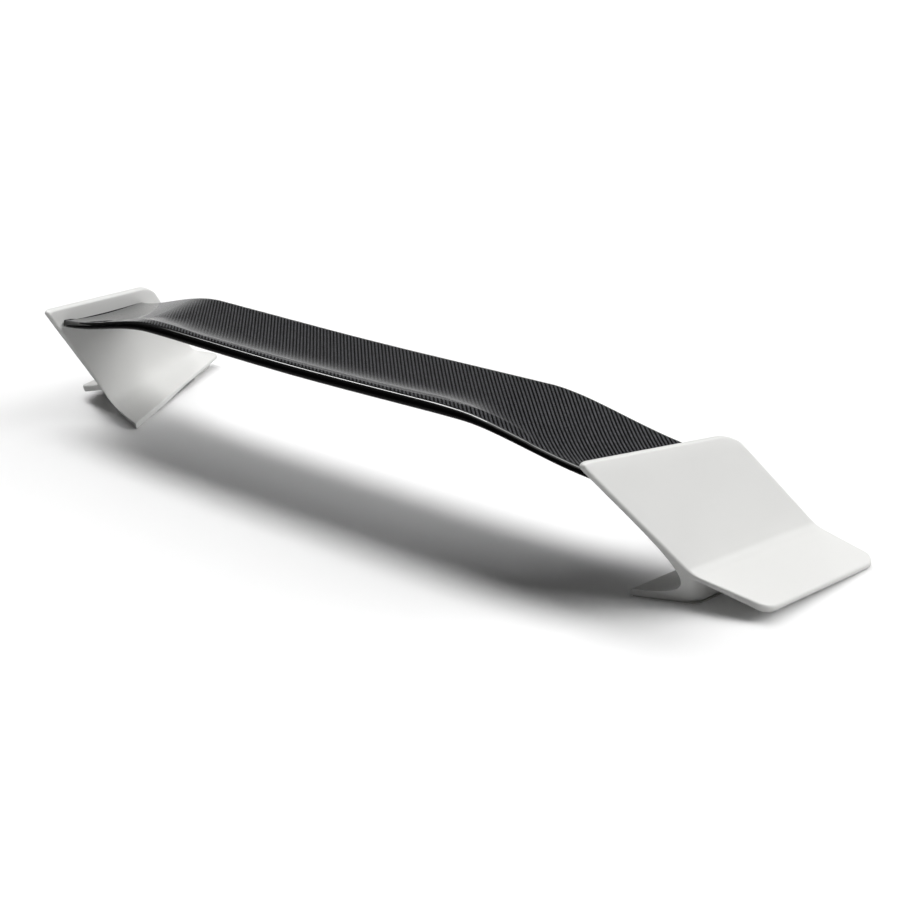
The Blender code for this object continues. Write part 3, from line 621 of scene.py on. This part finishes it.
        inner = [top + down * self.edge_round * (1 - math.cos(a)) - self.out * half_fin * math.sin(a)
                 for a in reversed(quarter[1:])]
        fin_side, wing_top, wing_under, foot_wall, sole, fin_inside = self.flat_points
        return (outer + line(outer[-1], fillet[0], fin_side) + fillet
                + line(fillet[-1], edge[0], wing_top) + edge
                + line(edge[-1], under[0], wing_under) + under
                + line(under[-1], heel[0], foot_wall) + heel
                + line(heel[-1], arch_low, sole) + [arch_low, arch, rim_low] + lip + sweep
                + line(sweep[-1], inner[0], fin_inside) + inner)

    def gasket_outline(self, distance: float) -> Outline:
        """Outline of the gasket under the sole."""
        inboard, (_, outboard) = self.arch(distance), self.sole(distance)
        across = unit((outboard - inboard) * (1.0, 1.0, 0.0)) * self.gasket_inset
        low = np.array((1.0, 1.0, 0.0))
        high = np.array((0.0, 0.0, self.gasket_thick))
        near, far = (inboard + across) * low, (outboard - across) * low
        return [near, far, far + high, near + high]

    def build(self, paint: bpy.types.Material) -> bpy.types.Object:
        """Make the painted stand in place of its two CAD shells."""
        name = "stand_painted_body_" + self.side.label
        outlines = [self.outline(distance) for distance in self.stations()]
        piece = add_skin(name, outlines, None, XZ_AXES, paint)
        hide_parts("stand_outer_shell_" + self.side.label, "stand_inner_shell_" + self.side.label)
        return piece

    def build_gasket(self, foam: bpy.types.Material) -> bpy.types.Object:
        """Make the foam gasket under the foot, cut to the sole."""
        inner = [distance for distance in self.stations()
                 if self.gasket_inset < distance < self.length - self.gasket_inset]
        outlines = [self.gasket_outline(distance) for distance in inner]
        piece = add_skin("foot_gasket_cut_" + self.side.label, outlines, None, XZ_AXES, foam)
        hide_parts("foot_gasket_" + self.side.label)
        return piece


@dataclass
class Blade:
    """The blade: drooped ends, hollow top, lip along the trailing edge."""

    stand: Stand
    lead_y_centre: float = 0.0026
    lead_y_tip: float = 0.0326
    trail_y_centre: float = -0.1674
    trail_y_tip: float = -0.1589
    lead_height: float = 0.2228
    trail_height: float = 0.2390
    centre_dip: float = 0.0023
    lead_droop: float = 0.0623
    trail_droop: float = 0.0331
    droop_start: float = 0.593
    lead_droop_end: float = 1.10
    trail_droop_end: float = 1.027
    lead_sweep_power: int = 6
    trail_sweep_power: int = 2
    nose_half: float = 0.007
    nose_length: float = 0.012
    trail_half: float = 0.0045
    trail_round: float = 0.0055
    lip_heel_round: float = 0.0035
    upper_hollow: float = 0.002
    tip_hollow: float = 0.0015
    lower_belly: float = 0.012
    belly_forward: float = 0.8
    lip_height: float = 0.008
    lip_band: float = 0.013
    lip_ramp: float = 0.060
    tip_ramp: float = 0.022
    tongue_band: float = 0.023
    band_start: float = 0.30
    band_full: float = 0.70
    band_end: float = 0.81
    lip_fade_start: float = 0.484
    lip_fade_end: float = 0.79
    lip_tip_height: float = 0.003
    lip_edge_round: float = 0.0075
    tip_edge_round: float = 0.0062
    tip_gap: float = 0.0021
    top_points: int = 26
    ramp_points: int = 22
    band_points: int = 7
    face_parts: tuple[float, float] = (0.33, 0.66)
    point_gap: float = 0.001
    level_share: float = 0.46
    level_stations: int = 14
    droop_stations: int = 44

    def edges(self, share: float) -> tuple[np.ndarray, np.ndarray]:
        """Leading and trailing edge at a share of the half span.

        Args:
            share: 0 at mid-span, 1 at the tip.

        Returns:
            Y and z of the leading edge, then of the trailing edge's middle.
        """
        dip = self.centre_dip * smooth(share / self.droop_start)
        reach = share - self.droop_start
        lead_fall = smooth(reach / (self.lead_droop_end - self.droop_start))
        trail_fall = smooth(reach / (self.trail_droop_end - self.droop_start))
        lead_y = self.lead_y_centre + (self.lead_y_tip - self.lead_y_centre) * share ** self.lead_sweep_power
        trail_y = (self.trail_y_centre
                   + (self.trail_y_tip - self.trail_y_centre) * share ** self.trail_sweep_power)
        return (np.array((lead_y, self.lead_height + dip - self.lead_droop * lead_fall)),
                np.array((trail_y, self.trail_height + dip - self.trail_droop * trail_fall)))

    def lip_share(self, share: float) -> float:
        """Share of the lip's full height left at a share of the half span."""
        return 1.0 - smooth((share - self.lip_fade_start) / (self.lip_fade_end - self.lip_fade_start))

    def nose(self, back: float) -> float:
        """Half thickness of the rounded nose at a distance behind the leading edge."""
        near = 1.0 - min(back / self.nose_length, 1.0)
        return self.nose_half * math.sqrt(1.0 - near * near)

    def ramp_length(self, lip: float, band: float) -> float:
        """Length of the concave ramp up to the lip, shortest beside the band's tongue."""
        return self.tip_ramp + (self.lip_ramp - self.tip_ramp) * max(lip, 1.0 - band / self.lip_band, 0.0)

    def band_width(self, span: float) -> float:
        """Width of the flat band behind the ramp, which ends in a round tongue near the tip."""
        past = min(max((span - self.band_full) / (self.band_end - self.band_full), 0.0), 1.0)
        wider = smooth((span - self.band_start) / (self.band_full - self.band_start))
        return (self.lip_band + (self.tongue_band - self.lip_band) * wider) * math.sqrt(1.0 - past * past)

    def upper(self, back: float, chord: float, lip: float, band: float) -> float:
        """Height of the top over the chord line.

        Args:
            back: distance behind the leading edge.
            chord: distance from the leading to the trailing edge.
            lip: share of the lip's height.
            band: width of the flat band.

        Returns:
            The height.
        """
        share = back / chord
        length = self.ramp_length(lip, band)
        ramp = (back - (chord - band - length)) / length
        level = self.nose(back) + (self.trail_half - self.nose_half) * share
        height = self.lip_tip_height + (self.lip_height - self.lip_tip_height) * lip
        hollow = self.upper_hollow + self.tip_hollow * (1.0 - lip)
        return level - hollow * math.sin(math.pi * share) + height * min(max(ramp, 0.0), 1.0) ** 2

    def lower(self, back: float, chord: float) -> float:
        """Height of the underside over the chord line, negative."""
        share = back / chord
        level = self.nose(back) + (self.trail_half - self.nose_half) * share
        return -level - self.lower_belly * math.sin(math.pi * share ** self.belly_forward)

    def profile(self, chord: float, lip: float, width: float) -> list[tuple[float, float]]:
        """Closed section: over the top from the nose to the lip, down the heel and back under.

        Args:
            chord: distance from the leading to the trailing edge.
            lip: share of the lip's height.
            width: width of the flat band.

        Returns:
            Distance behind the leading edge and height over the chord line, for each point.
        """
        nose = [self.nose_length * (1 - math.cos(a)) for a in arc(0, 90, 9)]
        band = chord - width
        ramp = band - self.ramp_length(lip, width)
        bend = self.tip_edge_round + (self.lip_edge_round - self.tip_edge_round) * lip
        backs = (nose + list(np.linspace(self.nose_length, ramp, self.top_points))[1:]
                 + list(np.linspace(ramp, band, self.ramp_points))[1:]
                 + list(np.linspace(band, chord, self.band_points))[1:])
        # Points past the start of the rounded edge wait there, a hair apart
        held = [chord - bend * (1.0 - self.point_gap * count / len(backs)) for count in range(len(backs))]
        top = [(back, self.upper(back, chord, lip, width)) for back in map(min, backs, held)]
        high = top[-1][1]
        edge = [(chord - bend * (1 - math.sin(a)), high - bend * (1 - math.cos(a)))
                for a in arc(9, 90, 9)]
        curve = self.trail_round + self.lip_heel_round * lip
        low = curve - self.trail_half
        face = [(chord, edge[-1][1] + (low - edge[-1][1]) * part) for part in self.face_parts]
        heel = [(chord - curve * (1 - math.cos(a)), low - curve * math.sin(a))
                for a in arc(0, 90, 9)]
        belly = list(np.linspace(self.nose_length, chord - self.lip_band, self.top_points))[::-1]
        under = [(back, self.lower(back, chord)) for back in belly + nose[1:-1][::-1]]
        return top + edge + face + heel + under

    def outline(self, share: float) -> tuple[Outline, list[tuple[float, float]]]:
        """Outline in space and its weave places.

        Args:
            share: share of the half span, negative on the left.

        Returns:
            The points, and one weave place more than there are points.
        """
        lead, trail = self.edges(abs(share))
        chord = float(np.linalg.norm(trail - lead))
        run = (trail - lead) / chord
        rise = np.array((run[1], -run[0]))
        flat = self.profile(chord, self.lip_share(abs(share)), self.band_width(abs(share)))
        points = []
        for back, height in flat:
            y, z = lead + run * back + rise * height
            reach = self.stand.fin_plane_x(y, z, -self.stand.fin_thickness / 2 - self.tip_gap)
            points.append(np.array((share * reach, y, z)))
        steps = np.linalg.norm(np.diff(np.array(flat + flat[:1]), axis=0), axis=1)
        around = np.concatenate(([0.0], np.cumsum(steps)))
        reach = [point[0] for point in points + points[:1]]
        return points, list(zip(reach, around))

    def build(self, carbon: bpy.types.Material) -> bpy.types.Object:
        """Make the coated blade in place of its two CAD skins."""
        half = (list(np.linspace(0.0, self.level_share, self.level_stations))
                + list(np.linspace(self.level_share, 1.0, self.droop_stations))[1:])
        shares = [-share for share in reversed(half)] + half[1:]
        made = [self.outline(share) for share in shares]
        piece = add_skin("blade_coated_shell", [points for points, _ in made],
                         [marks for _, marks in made], YZ_AXES, carbon)
        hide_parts("blade_upper_skin", "blade_lower_skin")
        return piece


@dataclass
class Hardware:
    """The hidden pieces, which keep their CAD solids."""

    nodes: dict[str, bpy.types.Object]
    slots: dict[str, str]

    def dress(self, finishes: dict[str, bpy.types.Material]) -> int:
        """Give each node that still shows the finish of its slot.

        Args:
            finishes: materials by slot.

        Returns:
            How many nodes were dressed.
        """
        dressed = 0
        for name, slot in self.slots.items():
            if slot in finishes:
                mesh = self.nodes[name].data
                mesh.materials.clear()
                mesh.materials.append(finishes[slot])
                dressed += 1
        return dressed


@dataclass
class Studio:
    """Pale floor, soft lights overhead and on the right, cards that only the gloss shows, which paint
    reflections and a highlight, and the camera.
    """

    floor_half: float = 16.0
    floor_shown: str = "#FFFFFF"
    floor_bounce: str = "#BCBCBC"
    sky_fill: float = 0.085
    key_strength: float = 2.5
    key_spread: float = math.radians(20)
    key_leans: tuple[float, ...] = (-40.0, -20.0, 0.0, 20.0, 40.0)
    key_ahead: float = 0.03
    side_strength: float = 1.45
    side_spread: float = math.radians(36)
    side_from: tuple[float, float, float] = (0.794, 0.370, 0.481)
    # Painted reflection: colours, fade and height of the sheet under the wing that only the gloss shows
    reflected_floor_pale: str = "#BCBCBC"
    reflected_floor_dark: str = "#0C0C0C"
    reflected_floor_fade: tuple[float, float] = (-0.6, 0.4)
    reflected_floor_lift: float = 0.0002
    # Painted reflection: glow and fades of the ring card around the studio
    sweep_glow: float = 0.5
    sweep_fade: float = 3.1
    sweep_power: float = 3.0
    sweep_ahead: float = 3.0
    wall_reach: float = 6.0
    wall_height: float = 8.0
    # Painted highlight: glow, size, fade and place of the strip card that only the gloss shows
    strip_glow: float = 22.0
    strip_size: tuple[float, float] = (2.4, 0.26)
    strip_fade: tuple[float, float] = (-2.0, -1.1)
    strip_place: tuple[float, float, float] = (-1.35, -0.19, 1.6)
    lens_mm: float = 68.0
    sensor_mm: float = 36.0
    camera_place: tuple[float, float, float] = (1.617, -1.5904, 1.1056)
    camera_right: tuple[float, float, float] = (0.75358, 0.65246, -0.08011)
    camera_up: tuple[float, float, float] = (-0.22344, 0.36885, 0.90223)
    camera_ahead: tuple[float, float, float] = (-0.61822, 0.66200, -0.42375)

    def shown_rays(self, tree: bpy.types.NodeTree) -> bpy.types.NodeSocket:
        """One for rays that show the background itself: from the camera, or through gloss and glass."""
        path = add_node(tree, "ShaderNodeLightPath")
        gloss = add_node(tree, "ShaderNodeMath", {"operation": "MAXIMUM"},
                         {0: path.outputs["Is Glossy Ray"], 1: path.outputs["Is Transmission Ray"]})
        shown = add_node(tree, "ShaderNodeMath", {"operation": "MAXIMUM"},
                         {0: path.outputs["Is Camera Ray"], 1: gloss.outputs[0]})
        return shown.outputs[0]

    def build_floor(self) -> bpy.types.Object:
        """Make the floor, a matt white sweep."""
        material, tree, shader = new_material("paper_sweep_matt_white")
        shown = self.shown_rays(tree)
        colour = add_node(tree, "ShaderNodeMix", {"data_type": "RGBA", 6: linear(self.floor_bounce),
                                                  7: linear(self.floor_shown)}, {0: shown})
        tree.links.new(colour.outputs[2], shader.inputs["Base Color"])
        shader.inputs["Roughness"].default_value = 1.0
        shader.inputs["Specular IOR Level"].default_value = 0.0
        mesh = bpy.data.meshes.new("studio_floor")
        shape = bmesh.new()
        bmesh.ops.create_grid(shape, x_segments=2, y_segments=2, size=self.floor_half)
        shape.to_mesh(mesh)
        shape.free()
        mesh.materials.append(material)
        floor = bpy.data.objects.new("studio_floor", mesh)
        bpy.context.scene.collection.objects.link(floor)
        return floor

    def add_gloss_card(self, name: str, rows: list[list[tuple[float, float, float]]],
                       material: bpy.types.Material) -> bpy.types.Object:
        """Add a card that only the gloss shows.

        Args:
            name: name of the card.
            rows: two rows of points, which the card joins.
            material: finish of the card.

        Returns:
            The card, on the stage.
        """
        mesh = bpy.data.meshes.new(name)
        shape = bmesh.new()
        near, far = [[shape.verts.new(point) for point in row] for row in rows]
        for index in range(1, len(near)):
            shape.faces.new((near[index - 1], near[index], far[index], far[index - 1]))
        shape.to_mesh(mesh)
        shape.free()
        mesh.materials.append(material)
        card = bpy.data.objects.new(name, mesh)
        bpy.context.scene.collection.objects.link(card)
        card.visible_camera = False
        card.visible_diffuse = False
        card.visible_shadow = False
        return card

    def ring(self, reach: float, height: float) -> list[tuple[float, float, float]]:
        """Points of a level circle."""
        return [(reach * math.cos(turn), reach * math.sin(turn), height) for turn in arc(0, 360, 10)]

    def add_glow(self, tree: bpy.types.NodeTree, strength: bpy.types.NodeSocket) -> None:
        """Turn a material into a glowing card, a painted glow with a strength that changes from place to
        place.
        """
        glow = add_node(tree, "ShaderNodeEmission", None, {"Strength": strength})
        tree.links.new(glow.outputs[0], tree.nodes["Material Output"].inputs["Surface"])

    def build_reflection_glow_card(self) -> bpy.types.Object:
        """Make the glowing ring around the studio that only the gloss shows, a painted reflection which is
        palest low down and ahead.
        """
        material, tree, _ = new_material("painted_reflection_glow_ring")
        place = add_node(tree, "ShaderNodeTexCoord").outputs["Object"]
        parts = add_node(tree, "ShaderNodeSeparateXYZ", None, {0: place})
        low = add_node(tree, "ShaderNodeMapRange", {"From Max": self.sweep_fade, "To Min": 1.0, "To Max": 0.0},
                       {"Value": parts.outputs[2]})
        fall = add_node(tree, "ShaderNodeMath", {"operation": "POWER", 1: self.sweep_power},
                        {0: low.outputs[0]})
        ahead = add_node(tree, "ShaderNodeMapRange", {"From Max": self.sweep_ahead, "To Max": self.sweep_glow},
                         {"Value": parts.outputs[1]})
        shown = add_node(tree, "ShaderNodeMath", {"operation": "MULTIPLY"},
                         {0: fall.outputs[0], 1: ahead.outputs[0]})
        self.add_glow(tree, shown.outputs[0])
        rows = [self.ring(self.wall_reach, 0.0), self.ring(self.wall_reach, self.wall_height)]
        return self.add_gloss_card("painted_reflection_ring_card", rows, material)

    def build_reflection_floor_card(self) -> bpy.types.Object:
        """Make the sheet under the wing that only the gloss shows, a painted reflection which darkens towards
        the camera.
        """
        material, tree, shader = new_material("painted_reflection_floor")
        place = add_node(tree, "ShaderNodeTexCoord").outputs["Object"]
        parts = add_node(tree, "ShaderNodeSeparateXYZ", None, {0: place})
        near, far = self.reflected_floor_fade
        fade = add_node(tree, "ShaderNodeMapRange",
                        {"interpolation_type": "SMOOTHSTEP", "From Min": near, "From Max": far},
                        {"Value": parts.outputs[1]})
        colour = add_node(tree, "ShaderNodeMix", {"data_type": "RGBA", 6: linear(self.reflected_floor_dark),
                                                  7: linear(self.reflected_floor_pale)}, {0: fade.outputs[0]})
        tree.links.new(colour.outputs[2], shader.inputs["Base Color"])
        shader.inputs["Specular IOR Level"].default_value = 0.0
        rows = [self.ring(reach, self.reflected_floor_lift) for reach in (self.reflected_floor_lift, self.wall_reach)]
        return self.add_gloss_card("painted_reflection_floor_card", rows, material)

    def build_strip_card(self) -> bpy.types.Object:
        """Make the glowing strip card that only the gloss shows, a painted highlight which draws the bright
        line along the lip, and fades to the left.
        """
        material, tree, _ = new_material("painted_highlight_strip")
        place = add_node(tree, "ShaderNodeTexCoord").outputs["Object"]
        parts = add_node(tree, "ShaderNodeSeparateXYZ", None, {0: place})
        dark, full = self.strip_fade
        fade = add_node(tree, "ShaderNodeMapRange",
                        {"interpolation_type": "SMOOTHSTEP", "From Min": dark, "From Max": full,
                         "To Max": self.strip_glow}, {"Value": parts.outputs[0]})
        self.add_glow(tree, fade.outputs[0])
        (x, y, z), (length, width) = self.strip_place, self.strip_size
        rows = [[(x - length / 2, y + side, z), (x + length / 2, y + side, z)]
                for side in (-width / 2, width / 2)]
        return self.add_gloss_card("strip_card", rows, material)

    def add_sun(self, name: str, strength: float, spread: float, place: tuple[float, float, float]) -> None:
        """Add a far, soft light.

        Args:
            name: name of the light.
            strength: light on a face square to it.
            spread: angle that it fills, seen from the wing.
            place: direction from the wing to the light.
        """
        lamp = bpy.data.lights.new(name, "SUN")
        lamp.energy = strength
        lamp.angle = spread
        light = bpy.data.objects.new(name, lamp)
        light.rotation_euler = (-Vector(place)).to_track_quat("-Z", "Y").to_euler()
        bpy.context.scene.collection.objects.link(light)

    def build_lights(self) -> None:
        """Make the overhead light, spread to both sides, the light ahead on the right and the world."""
        leans = [math.radians(lean) for lean in self.key_leans]
        share = self.key_strength / sum(math.cos(lean) for lean in leans)
        for count, lean in enumerate(leans):
            self.add_sun("overhead_light_%d" % count, share, self.key_spread,
                         (math.sin(lean), self.key_ahead, math.cos(lean)))
        self.add_sun("side_light", self.side_strength, self.side_spread, self.side_from)
        world = bpy.data.worlds.new("studio_world")
        world.use_nodes = True
        tree = world.node_tree
        sky = tree.nodes["Background"]
        strength = add_node(tree, "ShaderNodeMapRange", {"To Min": self.sky_fill, "To Max": 1.0},
                            {"Value": self.shown_rays(tree)})
        sky.inputs["Color"].default_value = linear("#FFFFFF")
        tree.links.new(strength.outputs[0], sky.inputs["Strength"])
        bpy.context.scene.world = world

    def build_camera(self) -> bpy.types.Object:
        """Make the camera at the photograph's viewpoint."""
        lens = bpy.data.cameras.new("camera")
        lens.lens = self.lens_mm
        lens.sensor_width = self.sensor_mm
        camera = bpy.data.objects.new("camera", lens)
        right, up = Vector(self.camera_right).normalized(), Vector(self.camera_up).normalized()
        back = -Vector(self.camera_ahead).normalized()
        turn = Matrix((right, up, back)).transposed().to_4x4()
        turn.translation = Vector(self.camera_place)
        camera.matrix_world = turn
        bpy.context.scene.collection.objects.link(camera)
        bpy.context.scene.camera = camera
        return camera

    def build(self) -> None:
        """Make the whole studio."""
        self.build_floor()
        self.build_reflection_glow_card()
        self.build_reflection_floor_card()
        self.build_strip_card()
        self.build_lights()
        self.build_camera()
        bpy.context.scene.view_settings.view_transform = "Standard"


def main() -> None:
    """Build the wing's looks and the studio."""
    logging.basicConfig(level=logging.INFO, format="%(name)s: %(message)s")
    paint = SatinPaint().build()
    carbon = TwillCarbon().build()
    foam = FOOT_FOAM.build()
    for side in Side:
        stand = Stand(side)
        LOG.info("made %s", stand.build(paint).name)
        LOG.info("made %s", stand.build_gasket(foam).name)
    LOG.info("made %s", Blade(Stand(Side.RIGHT)).build(carbon).name)
    slots = {part["node"]: part["material_slot"] for part in frame["record"]["subparts"]}
    finishes = {slot: finish.build() for slot, finish in HARDWARE_FINISHES.items()}
    LOG.info("dressed %d hidden nodes", Hardware(frame["nodes"], slots).dress(finishes))
    Studio().build()


if __name__ == "__main__":
    main()
